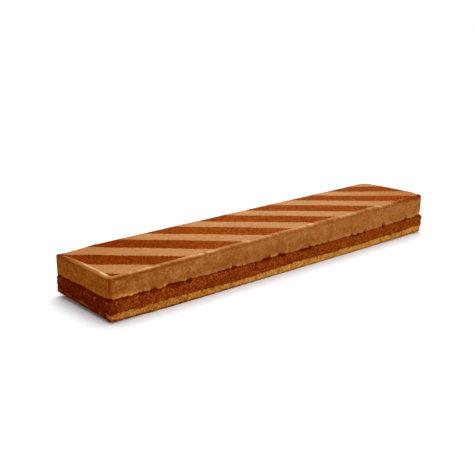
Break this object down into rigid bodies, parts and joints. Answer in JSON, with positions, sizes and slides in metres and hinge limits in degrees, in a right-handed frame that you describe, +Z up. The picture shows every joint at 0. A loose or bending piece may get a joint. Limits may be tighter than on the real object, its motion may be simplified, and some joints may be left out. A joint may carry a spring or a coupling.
{
  "type": "chocolate crunch strip cake",
  "caption": "Long rectangular layer cake: thin sponge base, dark crunch layer, thick chocolate mousse with a raised rim and slanted stripes of cocoa powder on top.",
  "frame": {"origin": "middle of the underside, on the surface that the cake stands on", "axes": "+Z up, +X along the length towards the higher end, -Y towards the long front side"},
  "size_m": [0.391, 0.08, 0.0415],
  "materials": {
    "sponge": "golden sponge crumb with fine pores and a browned underside",
    "crunch": "dark granular chocolate crunch with lighter cereal flecks",
    "mousse": "satin milk chocolate mousse with fine upright knife marks",
    "cocoa": "dry cocoa powder, finely grained"
  },
  "bodies": {
    "root": {"sponge_base": "sponge", "crunch_layer": "crunch", "mousse_layer": "mousse", "cocoa_stripe_0": "cocoa", "cocoa_stripe_1": "cocoa", "cocoa_stripe_2": "cocoa", "cocoa_stripe_3": "cocoa", "cocoa_stripe_4": "cocoa", "cocoa_stripe_5": "cocoa", "cocoa_stripe_6": "cocoa", "cocoa_stripe_7": "cocoa"}
  },
  "joints": []
}
